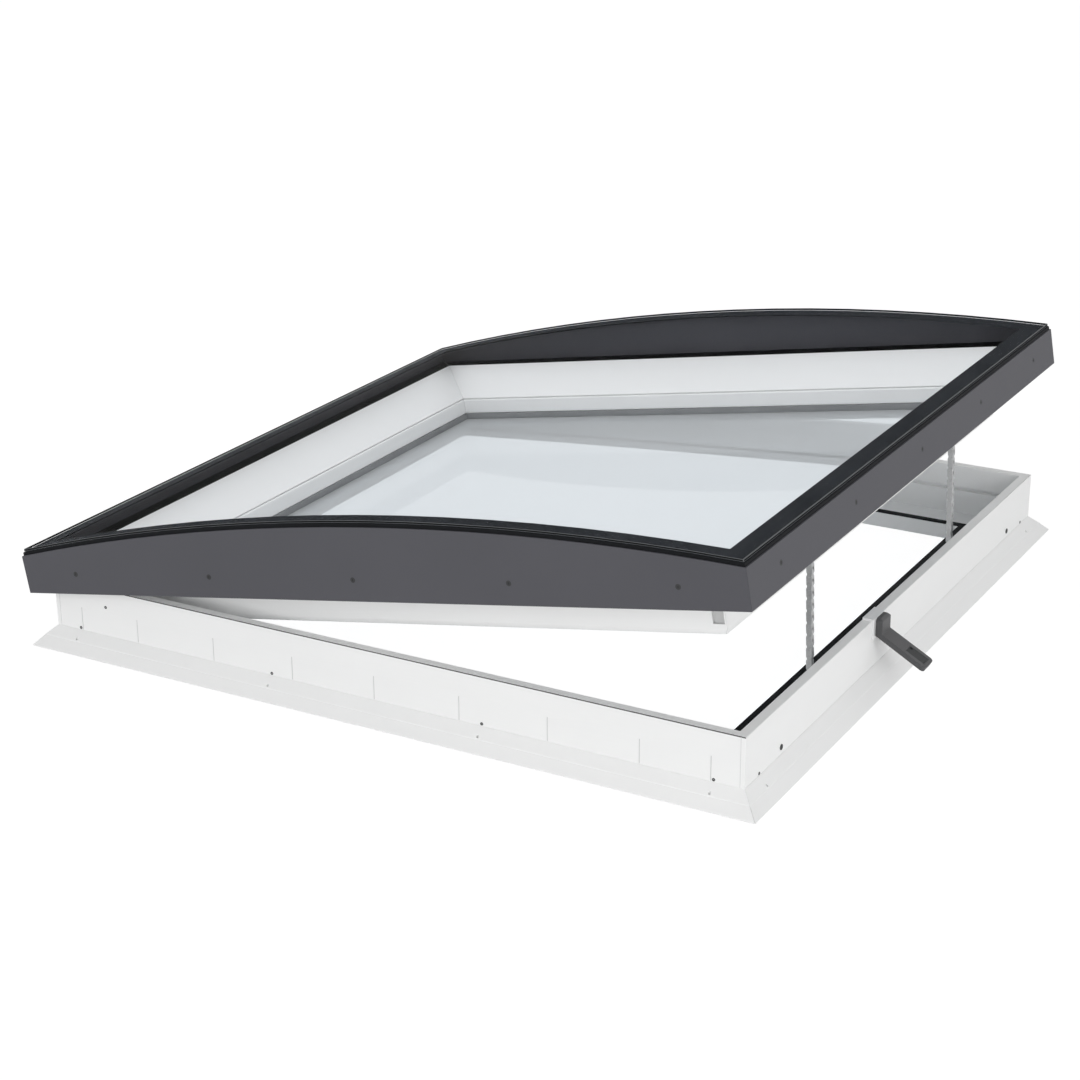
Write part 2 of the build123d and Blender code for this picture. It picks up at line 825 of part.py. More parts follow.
def export_all():
    """Builds every node and writes it."""
    os.makedirs("parts", exist_ok=True)
    for side in outward:
        save(kerb_rail(side), f"kerb_{side}_rail")
        save(opened(sash_rail(side)), f"sash_{side}_rail")
        reach = sash_wall_offset + sash_wall + bead_width
        bead = mitred_rail(bead_section(), side, cover_width, cover_depth, 0, reach)
        save(opened(bead), f"{side}_bead")
        wedge = mitre_wedge(side, cover_width, cover_depth, overrun, shelf_width + overrun)
        save(opened(skirt_ring() & wedge), f"{side}_skirt")
    save(kerb_seal(), "kerb_seal")
    save_group(cable_plugs(), "cable_plugs")
    save_group(map(opened, skirt_cleats()), "skirt_cleats")
    save(opened(dome_seal()), "dome_seal")
    save(opened(glass_border()), "glass_border")
    save(opened(curved_glass()), "curved_glass")
    save(opened(pane(lower_pane_low)), "lower_pane")
    save(opened(pane(upper_pane_low)), "upper_pane")
    save(opened(pane_spacer()), "pane_spacer")
    save(opened(glazing_gasket()), "glazing_gasket")
    save_group(at_hinges(kerb_leaf()), "hinge_kerb_leaves")
    save_group(at_hinges(hinge_pin()), "hinge_pins")
    save_group(map(opened, at_hinges(sash_leaf())), "hinge_sash_leaves")
    for name, place in drive_places.items():
        save(drive_housing(place), f"{name}_drive_housing")
        save(Pos(0, place, 0) * chain_run(), f"{name}_chain")
    save_group(drive_caps(), "drive_end_caps")
    save_group(map(opened, at_drives(chain_bracket())), "chain_brackets")
    save_group(map(opened, at_drives(bracket_pin())), "chain_bracket_pins")
    save(sensor_clip(), "sensor_clip")
    save(sensor_body(), "sensor_body")
    save(sensor_pad(), "sensor_pad")


export_all()
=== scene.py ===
# %% [markdown]
# # An opening roof skylight
# This lesson dresses a finished CAD part in Blender. The real object is a white kerb that is screwed
# to a flat roof, a hinged white sash with a dark grey skirt and a curved outer glass, two push
# chains that lift it, and a rain sensor on an arm. The CAD part comes in as a fixed frame: its
# nodes keep their places, and every new piece is told which moving body it rides on.
# The scene is emptied first, so that nothing from a start-up file stands in the picture.

# %% Load the CAD frame
import json
import math

import bmesh
import bpy
from mathutils import Matrix, Vector

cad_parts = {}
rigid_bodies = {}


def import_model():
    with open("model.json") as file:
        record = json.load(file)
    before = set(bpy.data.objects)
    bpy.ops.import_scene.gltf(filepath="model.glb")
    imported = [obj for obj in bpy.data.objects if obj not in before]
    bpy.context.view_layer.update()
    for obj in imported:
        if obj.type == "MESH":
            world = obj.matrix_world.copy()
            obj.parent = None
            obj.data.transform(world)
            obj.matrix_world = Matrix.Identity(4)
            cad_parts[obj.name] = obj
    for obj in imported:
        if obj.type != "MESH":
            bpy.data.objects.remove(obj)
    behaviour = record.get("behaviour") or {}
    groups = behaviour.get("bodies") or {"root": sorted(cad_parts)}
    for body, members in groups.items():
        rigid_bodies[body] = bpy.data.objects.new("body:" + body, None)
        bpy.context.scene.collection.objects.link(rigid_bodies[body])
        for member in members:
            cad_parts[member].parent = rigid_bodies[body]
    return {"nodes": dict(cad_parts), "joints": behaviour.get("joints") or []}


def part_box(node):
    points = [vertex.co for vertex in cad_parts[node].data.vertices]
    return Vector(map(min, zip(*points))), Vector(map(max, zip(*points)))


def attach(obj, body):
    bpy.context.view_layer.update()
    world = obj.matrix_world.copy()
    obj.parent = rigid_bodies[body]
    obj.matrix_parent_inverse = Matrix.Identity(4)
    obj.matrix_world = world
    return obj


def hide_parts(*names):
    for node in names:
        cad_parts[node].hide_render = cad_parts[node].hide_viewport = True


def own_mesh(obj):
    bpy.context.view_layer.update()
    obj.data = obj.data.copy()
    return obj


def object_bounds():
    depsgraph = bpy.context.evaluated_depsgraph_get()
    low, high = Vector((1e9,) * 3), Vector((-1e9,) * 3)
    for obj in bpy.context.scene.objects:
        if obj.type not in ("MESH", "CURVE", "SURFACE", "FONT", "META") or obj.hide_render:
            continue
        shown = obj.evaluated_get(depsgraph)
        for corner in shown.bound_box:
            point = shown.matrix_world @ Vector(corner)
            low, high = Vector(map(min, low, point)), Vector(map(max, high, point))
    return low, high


for leftover in list(bpy.data.objects):
    bpy.data.objects.remove(leftover)
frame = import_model()
cad_low, cad_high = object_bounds()
bpy.ops.object.select_all(action="DESELECT")
print("CAD nodes:", len(frame["nodes"]), "box:", [round(c, 4) for c in cad_high - cad_low])

# %% [markdown]
# The main sizes are read from the frame and not typed again, so that the new pieces follow the CAD
# part. The joint tells where the hinge is and how far the sash stands open. The leaves of the hinges
# lie flat on the kerb's wall, so their inner side gives half the kerb's width.

# %% Sizes from the frame
sash_hinge = frame["joints"][0]
hinge_point = Vector(sash_hinge["pos_m"])
open_angle = math.radians(-sash_hinge["range_deg"][0])
kerb_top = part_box("kerb_front_rail")[1].z
kerb_half = -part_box("hinge_kerb_leaves")[1].x
cover_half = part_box("back_skirt")[1].y


def middle_of(node):
    """The middle of a CAD node's box."""
    low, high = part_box(node)
    return (low + high) / 2


print("kerb", round(2 * kerb_half, 4), "wide, cover", round(2 * cover_half, 4), "wide")

# %% [markdown]
# The camera stands where the photograph was taken from. It could be placed by eye, but a fit of the
# kerb's and the cover's corners gives its angles, its distance and its lens at once, so those
# numbers are written down. The camera's own axes are built from them: one points back from the
# object, one to the right and one up, and a slight roll turns the last two.

# %% Camera at the photograph's angle
camera_azimuth, camera_elevation, camera_roll = (math.radians(a) for a in (29.5, 21.2, -0.45))
camera_distance = 5.4194
camera_slide_right, camera_slide_up = 0.0677, -0.1027
camera_lens = 78.25

camera_back = Vector((
    math.sin(camera_azimuth) * math.cos(camera_elevation),
    -math.cos(camera_azimuth) * math.cos(camera_elevation),
    math.sin(camera_elevation),
))
level_right = Vector((math.cos(camera_azimuth), math.sin(camera_azimuth), 0))
level_up = camera_back.cross(level_right)
camera_right = level_right * math.cos(camera_roll) + level_up * math.sin(camera_roll)
camera_up = level_up * math.cos(camera_roll) - level_right * math.sin(camera_roll)
camera_place = (camera_back * camera_distance - camera_right * camera_slide_right
                - camera_up * camera_slide_up)

bpy.ops.object.camera_add(location=camera_place)
camera = bpy.context.active_object
camera.name = "photo_camera"
camera.data.lens = camera_lens
camera.matrix_world = Matrix((
    (camera_right.x, camera_up.x, camera_back.x, camera_place.x),
    (camera_right.y, camera_up.y, camera_back.y, camera_place.y),
    (camera_right.z, camera_up.z, camera_back.z, camera_place.z),
    (0, 0, 0, 1),
))
bpy.context.scene.camera = camera
print("camera at", [round(c, 3) for c in camera_place])

# %% [markdown]
# Finishes are built from shader nodes, and shader maths reads badly as a list of nodes. So one small
# class wraps the output of a node, and adding or multiplying such wires with Python's own signs adds
# the Math nodes. A second class holds a material: its one method makes any other node from its
# type, its settings and what goes into its sockets.

# %% Shader wires and finishes
class Wire:
    """The output of a shader node, which can be reckoned with."""

    def __init__(self, finish, socket):
        self.finish, self.socket = finish, socket

    def reckon(self, operation, first, second):
        return self.finish.node("ShaderNodeMath", {"operation": operation}, {0: first, 1: second})

    def __add__(self, other):
        return self.reckon("ADD", self, other)

    def __radd__(self, other):
        return self.reckon("ADD", other, self)

    def __sub__(self, other):
        return self.reckon("SUBTRACT", self, other)

    def __rsub__(self, other):
        return self.reckon("SUBTRACT", other, self)

    def __mul__(self, other):
        return self.reckon("MULTIPLY", self, other)

    def __rmul__(self, other):
        return self.reckon("MULTIPLY", other, self)

    def at_least(self, other):
        return self.reckon("MAXIMUM", self, other)


class Finish:
    """A node tree that is being built: a material's or the world's."""

    def __init__(self, owner):
        self.owner = owner
        owner.use_nodes = True
        self.tree = owner.node_tree
        self.tree.nodes.clear()

    def node(self, kind, settings, sockets, output=0):
        made = self.tree.nodes.new(kind)
        for name, value in settings.items():
            setattr(made, name, value)
        for name, value in sockets.items():
            if isinstance(value, Wire):
                self.tree.links.new(value.socket, made.inputs[name])
            else:
                made.inputs[name].default_value = value
        return Wire(self, made.outputs[output]) if len(made.outputs) else made


print("shader helpers ready")

# %% [markdown]
# The studio is a wide pale floor, a white world and large soft lamps. In the photograph upright faces
# are brighter than level ones, so the lamps stand low and the world is dimmer overhead than at the
# horizon. The photograph's background is white, and here that white does not come from more light on
# the object: the world and the floor ask the Light Path node whether the ray comes from the camera, a
# mirror or a glass, and are white only for those. The floor keeps part of its own shading, so a faint
# shadow of the object stays.

# %% Studio: world, floor and lamps
horizon_light, overhead_light = 1.1, 0.18
floor_glow = 0.93
floor_half, floor_gap = 30.0, 0.0005
floor_pale, floor_dim = (0.92, 0.92, 0.92, 1), (0.17, 0.17, 0.17, 1)


def seen_directly(finish):
    """One for rays from the camera, from a reflection or through glass, else zero."""
    camera_ray, mirror_ray, glass_ray = (finish.node("ShaderNodeLightPath", {}, {}, f"Is {kind} Ray")
                                         for kind in ("Camera", "Glossy", "Transmission"))
    return camera_ray.at_least(mirror_ray).at_least(glass_ray)


scene_world = bpy.data.worlds.new("white_studio")
bpy.context.scene.world = scene_world
sky = Finish(scene_world)
sky_way = sky.node("ShaderNodeTexCoord", {}, {}, "Generated")
sky_height = sky.node("ShaderNodeSeparateXYZ", {}, {"Vector": sky_way}, "Z").at_least(0)
sky_light = horizon_light - (horizon_light - overhead_light) * sky_height
sky_strength = sky_light + (1 - sky_light) * seen_directly(sky)
sky_shader = sky.node("ShaderNodeBackground", {}, {"Color": (1, 1, 1, 1), "Strength": sky_strength})
sky.node("ShaderNodeOutputWorld", {}, {"Surface": sky_shader})

bpy.ops.mesh.primitive_plane_add(size=2 * floor_half, location=(0, 0, cad_low.z - floor_gap))
floor = bpy.context.active_object
floor.name = "studio_floor"
floor_finish = Finish(bpy.data.materials.new("pale_floor"))
floor_lit = floor_finish.node("ShaderNodeBsdfDiffuse", {}, {"Color": floor_pale})
floor_shade = floor_finish.node("ShaderNodeBsdfDiffuse", {}, {"Color": floor_dim})
floor_white = floor_finish.node("ShaderNodeEmission", {}, {"Strength": floor_glow})
floor_shown = floor_finish.node("ShaderNodeAddShader", {}, {0: floor_shade, 1: floor_white})
floor_mix = floor_finish.node("ShaderNodeMixShader", {}, {
    0: seen_directly(floor_finish), 1: floor_lit, 2: floor_shown})
floor_finish.node("ShaderNodeOutputMaterial", {}, {"Surface": floor_mix})
floor.data.materials.append(floor_finish.owner)


def soft_lamp(name, place, aim, size, power):
    """A square area lamp that looks at a point."""
    bpy.ops.object.light_add(type="AREA", location=place)
    lamp = bpy.context.active_object
    lamp.name = name
    lamp.data.shape = "SQUARE"
    lamp.data.size = size
    lamp.data.energy = power
    lamp.rotation_euler = (Vector(aim) - Vector(place)).to_track_quat("-Z", "Y").to_euler()


soft_lamp("front_lamp", place=(-0.3, -6.0, 1.8), aim=(0, 0, 0.2), size=3.2, power=74)
soft_lamp("top_lamp", place=(1.0, -0.5, 5.5), aim=(0, 0, 0.3), size=3.5, power=16)
soft_lamp("opening_lamp", place=(5.4, -2.4, 1.5), aim=(0.6, 0, 0.2), size=2.6, power=66)
bpy.context.scene.view_settings.view_transform = "Standard"

# %% [markdown]
# Most finishes need the same three things: a soft noise on Object coordinates, which stay with the
# piece, a mix of two colours, and a bump. These helpers make them once. A pattern that runs along a
# rail is a noise that is stretched along one axis; the sash stands tilted, so the stretch can tilt.

# %% Helpers for the finishes
mix_share, mix_first, mix_second, mix_result = 0, 6, 7, 2


def object_place(finish):
    """Where a point lies on its piece."""
    return finish.node("ShaderNodeTexCoord", {}, {}, "Object")


def noise(finish, scale, detail=2.0, stretch=(1, 1, 1), tilt=0.0):
    """Noise between 0 and 1 on the piece, drawn out along an axis."""
    place = finish.node("ShaderNodeMapping", {"vector_type": "TEXTURE"}, {
        "Vector": object_place(finish), "Rotation": (0, tilt, 0), "Scale": stretch})
    return finish.node("ShaderNodeTexNoise", {}, {"Vector": place, "Scale": scale, "Detail": detail})


def colours(finish, share, first, second):
    """Mix of two colours."""
    return finish.node("ShaderNodeMix", {"data_type": "RGBA"}, {
        mix_share: share, mix_first: (*first, 1), mix_second: (*second, 1)}, mix_result)


def bump(finish, height, strength, distance):
    """Small relief from a height."""
    return finish.node("ShaderNodeBump", {}, {
        "Height": height, "Strength": strength, "Distance": distance})


def coated(finish, **sockets):
    """Closes a finish with one Principled shader."""
    inputs = {name.replace("_", " "): value for name, value in sockets.items()}
    shader = finish.node("ShaderNodeBsdfPrincipled", {}, inputs)
    finish.node("ShaderNodeOutputMaterial", {}, {"Surface": shader})
    return finish.owner


def new_finish(name):
    """A material with an empty node tree."""
    return Finish(bpy.data.materials.new(name))


print("finish helpers ready")

# %% [markdown]
# The kerb and the sash are extruded white PVC. Extruded plastic is satin, not glossy, and the die
# leaves very fine lines along the profile. A plain white would look like paper, so the colour drifts
# a little, the gloss changes with faint handling marks and the die lines give a slight relief. The
# lines must follow each rail, so there is one finish for rails along X, one for rails along Y, and
# the sash's rails along X have it tilted. A greyed copy paints shade into the cut marks and the
# narrow corner lines, and a darker copy paints shade into the pockets.

# %% White PVC
def white_pvc(name, stretch, tilt=0.0, dark=(0.87, 0.875, 0.875), light=(0.915, 0.918, 0.915)):
    """Satin extruded plastic with die lines along one axis."""
    pvc = new_finish(name)
    drift = noise(pvc, 3.0, 3.0)
    marks = noise(pvc, 26.0, 4.0)
    lines = noise(pvc, 420.0, 2.0, stretch, tilt)
    pores = noise(pvc, 1500.0, 1.0)
    colour = colours(pvc, 0.7 * drift + 0.3 * lines, dark, light)
    return coated(pvc, Base_Color=colour, Roughness=0.3 + 0.14 * marks,
                  Normal=bump(pvc, 0.7 * lines + 0.3 * pores, 0.12, 0.0004), IOR=1.5)


along_x, along_y, along_z = (60, 1, 1), (1, 60, 1), (1, 1, 60)
pvc_x = white_pvc("white_pvc_along_x", along_x)
pvc_y = white_pvc("white_pvc_along_y", along_y)
pvc_sash = white_pvc("white_pvc_sash", along_x, -open_angle)
# Painted shade: a greyed PVC for the narrow grooves of the cut marks and the corner lines.
pvc_groove_shade = white_pvc("groove_shade_pvc", along_z, 0.0, (0.65, 0.655, 0.655), (0.73, 0.734, 0.732))
# Painted shade: a darker PVC for the pockets of the sash rails.
pvc_pocket_shade = white_pvc("pocket_shade_pvc", along_z, 0.0, (0.55, 0.555, 0.555), (0.64, 0.644, 0.642))
print("PVC finishes made")

# %% [markdown]
# The skirt is powder-coated: a dark grey with the fine orange-peel relief of baked powder and tiny
# darker and lighter grains. Rubber seals are nearly black and dull, with a fine skin; the gasket of
# the flat glass is the same rubber in grey. The line along the rim is painted shade, made with the
# same rubber finish in a darker grey. The border of the curved glass is a black print that has been
# fired on. It lies against the glass, with no air between, so it has almost no shine of its own.

# %% Powder coat, rubber and print
def powder_coat():
    """Dark grey baked powder with a fine orange peel."""
    coat = new_finish("grey_powder_coat")
    grains = noise(coat, 2600.0, 2.0)
    peel = noise(coat, 620.0, 2.0)
    drift = noise(coat, 4.0, 3.0)
    colour = colours(coat, 0.45 * grains + 0.55 * drift, (0.078, 0.078, 0.088), (0.105, 0.105, 0.118))
    return coated(coat, Base_Color=colour, Roughness=0.42 + 0.14 * drift, Specular_IOR_Level=0.15,
                  Normal=bump(coat, 0.75 * peel + 0.25 * grains, 0.3, 0.0004))


def rubber(name, dark, light):
    """Dull rubber with a fine skin."""
    seal = new_finish(name)
    skin = noise(seal, 900.0, 3.0)
    bloom = noise(seal, 18.0, 4.0)
    return coated(seal, Base_Color=colours(seal, bloom, dark, light), Roughness=0.5 + 0.25 * bloom,
                  Specular_IOR_Level=0.1, Normal=bump(seal, skin, 0.25, 0.0003))


def fired_print():
    """The black print under the edge of the curved glass."""
    ink = new_finish("black_fired_print")
    grain = noise(ink, 1200.0, 2.0)
    drift = noise(ink, 9.0, 2.0)
    colour = colours(ink, drift, (0.022, 0.024, 0.027), (0.036, 0.0385, 0.043))
    return coated(ink, Base_Color=colour, Roughness=0.4 + 0.15 * grain, IOR=1.025,
                  Normal=bump(ink, grain, 0.1, 0.0002))


grey_coat, black_print = powder_coat(), fired_print()
black_rubber = rubber("black_seal_rubber", (0.004, 0.0045, 0.0055), (0.011, 0.012, 0.014))
grey_rubber = rubber("grey_gasket_rubber", (0.24, 0.245, 0.25), (0.32, 0.326, 0.332))
# Painted shade: a dark grey line along the outer edge of the rim.
rim_painted_shade = rubber("rim_painted_shade_grey", (0.1, 0.102, 0.104), (0.14, 0.143, 0.146))
print("coat, rubber and print made")

# %% [markdown]
# Glass is clear, but not perfectly so: it takes a little colour out of what is seen through it, a
# little more in one place than in another. In the photograph the curved glass hardly mirrors, as its
# border stays black at a flat angle, so its index of refraction is close to that of air. What lies
# behind the flat panes looks veiled and raised there, as under water. Mirror images would veil it
# too, but would show the dark skirt. So the top face of the upper pane spreads part of the light and
# bends the rest once, and every other face of the panes lets it go straight on. The curved glass has
# dark sides and a ground arris, the narrow bevel along its edge, whose lighter grey is a painted
# highlight.

# %% Glass
def clear_glass(name, first, second, clearness=1.0, index=1.007):
    """Glass between two tints; what is not clear of it is a veil."""
    glass = new_finish(name)
    drift = noise(glass, 2.0, 2.0)
    return coated(glass, Base_Color=colours(glass, drift, first, second), Roughness=0.0, IOR=index,
                  Transmission_Weight=clearness, Specular_IOR_Level=0.0)


def ground_glass(name, dark, light, shine):
    """The dull edge of a sheet of glass."""
    edge = new_finish(name)
    grain = noise(edge, 1400.0, 3.0)
    return coated(edge, Base_Color=colours(edge, grain, dark, light), Roughness=0.45 + 0.2 * grain,
                  Specular_IOR_Level=shine, Normal=bump(edge, grain, 0.3, 0.0003))


pane_tints = (0.825, 0.85, 0.868), (0.85, 0.872, 0.888)
bent_glass = clear_glass("bent_clear_glass", (0.968, 0.979, 0.99), (0.978, 0.986, 0.994), index=1.004)
pane_glass = clear_glass("flat_pane_glass", *pane_tints)
pane_top = clear_glass("flat_pane_top", *pane_tints, clearness=0.54, index=1.12)
# Painted highlight: the arris gets a lighter grey than the dark sides of the curved glass.
arris_painted_highlight = ground_glass("ground_arris_painted_highlight", (0.08, 0.085, 0.09), (0.14, 0.147, 0.153), 0.2)
glass_side = ground_glass("dark_glass_side", (0.003, 0.0034, 0.004), (0.007, 0.0077, 0.0085), 0.03)
print("glass made")

# %% [markdown]
# Metal parts are small: zinc-plated steel for hinges, pins, brackets and chains, drawn aluminium for
# the drives' housings and the pane spacer, and a pale brushed clip. The clip hardly mirrors in the
# photograph, so it is metallic only in part. Otherwise what tells them apart is their colour, how
# rough they are and which way their scratches run.

# %% Metals
def zinc_steel():
    """Plated steel with a faint spangle."""
    zinc = new_finish("zinc_steel")
    spangle = zinc.node("ShaderNodeTexVoronoi", {}, {
        "Vector": object_place(zinc), "Scale": 420.0}, "Distance")
    cloud = noise(zinc, 60.0, 3.0)
    colour = colours(zinc, 0.5 * spangle + 0.5 * cloud, (0.33, 0.335, 0.34), (0.55, 0.555, 0.56))
    return coated(zinc, Base_Color=colour, Metallic=1.0, Roughness=0.32 + 0.2 * cloud,
                  Normal=bump(zinc, spangle, 0.08, 0.0002))


def drawn_metal(name, dark, light, stretch, rough, metallic=1.0):
    """Metal with fine scratches along one axis."""
    drawn = new_finish(name)
    lines = noise(drawn, 900.0, 3.0, stretch)
    cloud = noise(drawn, 20.0, 3.0)
    colour = colours(drawn, 0.6 * lines + 0.4 * cloud, dark, light)
    return coated(drawn, Base_Color=colour, Metallic=metallic, Roughness=rough + 0.12 * lines,
                  Normal=bump(drawn, lines, 0.12, 0.0002))


steel = zinc_steel()
housing_metal = drawn_metal("drawn_housing", (0.6, 0.605, 0.61), (0.72, 0.725, 0.73), along_y, 0.34)
spacer_metal = drawn_metal("spacer_strip", (0.14, 0.142, 0.145), (0.2, 0.203, 0.206), along_x, 0.45)
clip_metal = drawn_metal("brushed_clip", (0.84, 0.845, 0.85), (0.94, 0.944, 0.948), along_y, 0.3, 0.25)
print("metals made")

# %% [markdown]
# The sensor and the drives' end caps are moulded plastic with a spark-eroded grain, which is a fine
# irregular relief. The sensing pad is smoother, and fine bands on it stand for its sensing lines.

# %% Moulded plastics
def moulded(name, dark, light, rough, grain_strength):
    """Moulded plastic with a fine grain."""
    plastic = new_finish(name)
    grain = noise(plastic, 1700.0, 2.0)
    drift = noise(plastic, 30.0, 3.0)
    colour = colours(plastic, 0.6 * drift + 0.4 * grain, dark, light)
    return coated(plastic, Base_Color=colour, Roughness=rough + 0.15 * drift,
                  Normal=bump(plastic, grain, grain_strength, 0.0003))


def sensing_face():
    """The dark face of the sensor's pad."""
    pad = new_finish("sensing_face")
    lines = pad.node("ShaderNodeTexWave", {"wave_type": "BANDS", "bands_direction": "Y"}, {
        "Vector": object_place(pad), "Scale": 160.0, "Distortion": 0.0})
    drift = noise(pad, 40.0, 2.0)
    colour = colours(pad, 0.8 * lines + 0.2 * drift, (0.02, 0.0215, 0.0225), (0.04, 0.042, 0.044))
    return coated(pad, Base_Color=colour, Roughness=0.3 + 0.15 * drift, Specular_IOR_Level=0.2,
                  Normal=bump(pad, lines, 0.1, 0.0002))


sensor_grey = moulded("sensor_plastic", (0.05, 0.05, 0.053), (0.09, 0.09, 0.094), 0.45, 0.35)
cap_grey = moulded("drive_cap_plastic", (0.2, 0.203, 0.205), (0.27, 0.273, 0.275), 0.42, 0.3)
plug_black = moulded("plug_plastic", (0.012, 0.0125, 0.014), (0.03, 0.031, 0.033), 0.45, 0.3)
pad_face = sensing_face()
print("plastics made")

# %% [markdown]
# CAD solids have knife-sharp edges, and real ones never do: extruded, moulded and folded edges catch
# a thin line of light. A node's own mesh may not change, so such a node gets a stand-in. The node's
# mesh is loose triangles, so a copy is merged and its flat faces are joined again. Then the long sharp
# edges are picked by their angle and length and bevelled, and weighted normals keep the flat faces
# flat.

# %% Softened stand-ins for CAD nodes
sharp_angle, flat_angle = math.radians(32), math.radians(0.2)
merge_distance = 0.000005
straight = 0.9


def only(piece):
    """Makes a piece the only one that is selected, and active."""
    bpy.ops.object.select_all(action="DESELECT")
    piece.select_set(True)
    bpy.context.view_layer.objects.active = piece


def pick_edges(piece, test):
    """In edit mode, selects the edges that pass a test."""
    bpy.ops.mesh.select_mode(type="EDGE")
    bpy.ops.mesh.select_all(action="DESELECT")
    mesh = bmesh.from_edit_mesh(piece.data)
    count = 0
    for edge in mesh.edges:
        if test(edge):
            edge.select_set(True)
            count += 1
    bmesh.update_edit_mesh(piece.data)
    return count


def pick_faces(piece, test):
    """In edit mode, selects the faces that pass a test."""
    bpy.ops.mesh.select_mode(type="FACE")
    bpy.ops.mesh.select_all(action="DESELECT")
    mesh = bmesh.from_edit_mesh(piece.data)
    for face in mesh.faces:
        if test(face):
            face.select_set(True)
    bmesh.update_edit_mesh(piece.data)


def apply_modifier(piece, kind, **settings):
    """Adds a modifier, sets it up and applies it."""
    only(piece)
    modifier = piece.modifiers.new(kind.lower(), kind)
    for name, value in settings.items():
        setattr(modifier, name, value)
    bpy.ops.object.modifier_apply(modifier=modifier.name)


def smooth(piece, angle=40, crisp=None):
    """Smooth shading up to an angle, with the flat faces kept flat and chosen edges kept crisp."""
    only(piece)
    bpy.ops.object.shade_smooth_by_angle(angle=math.radians(angle))
    if crisp:
        bpy.ops.object.mode_set(mode="EDIT")
        pick_edges(piece, crisp)
        bpy.ops.mesh.mark_sharp()
        bpy.ops.object.mode_set(mode="OBJECT")
    apply_modifier(piece, "WEIGHTED_NORMAL", weight=80, keep_sharp=True)


def finish_piece(piece, material, body):
    """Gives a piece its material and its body."""
    piece.data.materials.clear()
    piece.data.materials.append(material)
    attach(piece, body)
    return piece


def second_finish(piece, material, test):
    """Gives one more material to the faces that pass a test."""
    piece.data.materials.append(material)
    only(piece)
    bpy.ops.object.mode_set(mode="EDIT")
    pick_faces(piece, test)
    piece.active_material_index = len(piece.data.materials) - 1
    bpy.ops.object.material_slot_assign()
    bpy.ops.object.mode_set(mode="OBJECT")


def softened(node, edge, shortest=0.003, skip=None, segments=2):
    """A merged copy of a CAD node with its long sharp edges bevelled."""
    piece = bpy.data.objects.new(node + "_soft", frame["nodes"][node].data.copy())
    bpy.context.scene.collection.objects.link(piece)
    only(piece)
    bpy.ops.object.mode_set(mode="EDIT")
    bpy.ops.mesh.select_all(action="SELECT")
    bpy.ops.mesh.remove_doubles(threshold=merge_distance)
    bpy.ops.mesh.dissolve_limited(angle_limit=flat_angle)

    def sharp(edge_seen):
        length = edge_seen.calc_length()
        if length < shortest or len(edge_seen.link_faces) != 2 or (skip and skip(edge_seen, length)):
            return False
        return edge_seen.calc_face_angle(0) > sharp_angle

    if pick_edges(piece, sharp):
        bpy.ops.mesh.bevel(offset=edge, segments=segments, affect="EDGES", clamp_overlap=False)
    bpy.ops.object.mode_set(mode="OBJECT")
    return piece


def stand_in(node, edge, material, body, slot, **how):
    """The softened copy of a CAD node, which takes its place and gets its finish."""
    piece = softened(node, edge, **how)
    smooth(piece)
    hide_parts(node)
    return finish_piece(piece, material, body)


print("stand-in helpers ready")

# %% [markdown]
# The kerb comes first: four mitred rails, welded at the corners. The groove at the wall's foot, the
# upright marks and the fine lines beside the corners are narrower than a rounded edge would be, so
# their edges are left as they are and kept crisp. The faces inside the marks and the narrow faces
# along the welded corners get the greyed PVC, which paints shade into these narrow grooves. The
# rounded outer edge of the rim of the front and back rails gets a dark grey, which paints a shadow
# line along the rim. The seal on the ledge is soft rubber and gets a rounder edge.

# %% Kerb rails and their seal
rail_sides, long_sides = ("front", "back", "hinge", "opening"), ("front", "back")
mark_height, mark_slack = 0.052, 0.0012
mark_depth, mark_skin, mark_end_gap = 0.0012, 0.0001, 0.005
mark_floor, mark_mouth = kerb_half - mark_depth, kerb_half - mark_skin
mark_end = kerb_half - mark_end_gap
rim_skin, rim_reach = 0.001, 0.0025
wall_low, wall_high = 0.046, kerb_top - rim_skin
wall_tilt, corner_turn = 0.3, 0.2
foot_groove_low, foot_groove_high = 0.0425, 0.0455
corner_line_inset, corner_line_slack = 0.010, 0.001
corner_line_place = kerb_half - corner_line_inset
rim_edge_low, rim_edge_start = kerb_top - rim_reach, kerb_half - rim_reach
round_foot, round_top = 0.1, 0.98
same_place = 0.0001


def is_fine(edge, length):
    """Edges of the shallow marks, of the groove at the foot and of the lines beside the corners."""
    first, second = (vert.co for vert in edge.verts)
    in_groove = all(foot_groove_low < end.z < foot_groove_high for end in (first, second))
    upright = (first.xy - second.xy).length < same_place
    beside_corner = (abs(abs(first.x) - corner_line_place) < corner_line_slack
                     and abs(first.y) > corner_line_place)
    return in_groove or (upright and beside_corner) or abs(length - mark_height) < mark_slack


def in_mark(face):
    """Faces inside the cut marks, and the narrow upright ones along the corners."""
    middle, normal = face.calc_center_median(), face.normal
    if not wall_low < middle.z < wall_high or abs(normal.z) > wall_tilt:
        return False
    sunk = mark_floor < abs(middle.y) < mark_mouth and abs(middle.x) < mark_end
    at_corner = (min(abs(middle.x), abs(middle.y)) > mark_floor
                 and min(abs(normal.x), abs(normal.y)) > corner_turn)
    return sunk or at_corner


def on_rim_edge(face):
    """Faces of the rounded outer edge of the rim of the front and back rails."""
    middle = face.calc_center_median()
    at_edge = middle.z > rim_edge_low and abs(middle.y) > rim_edge_start
    return at_edge and round_foot < face.normal.z < round_top


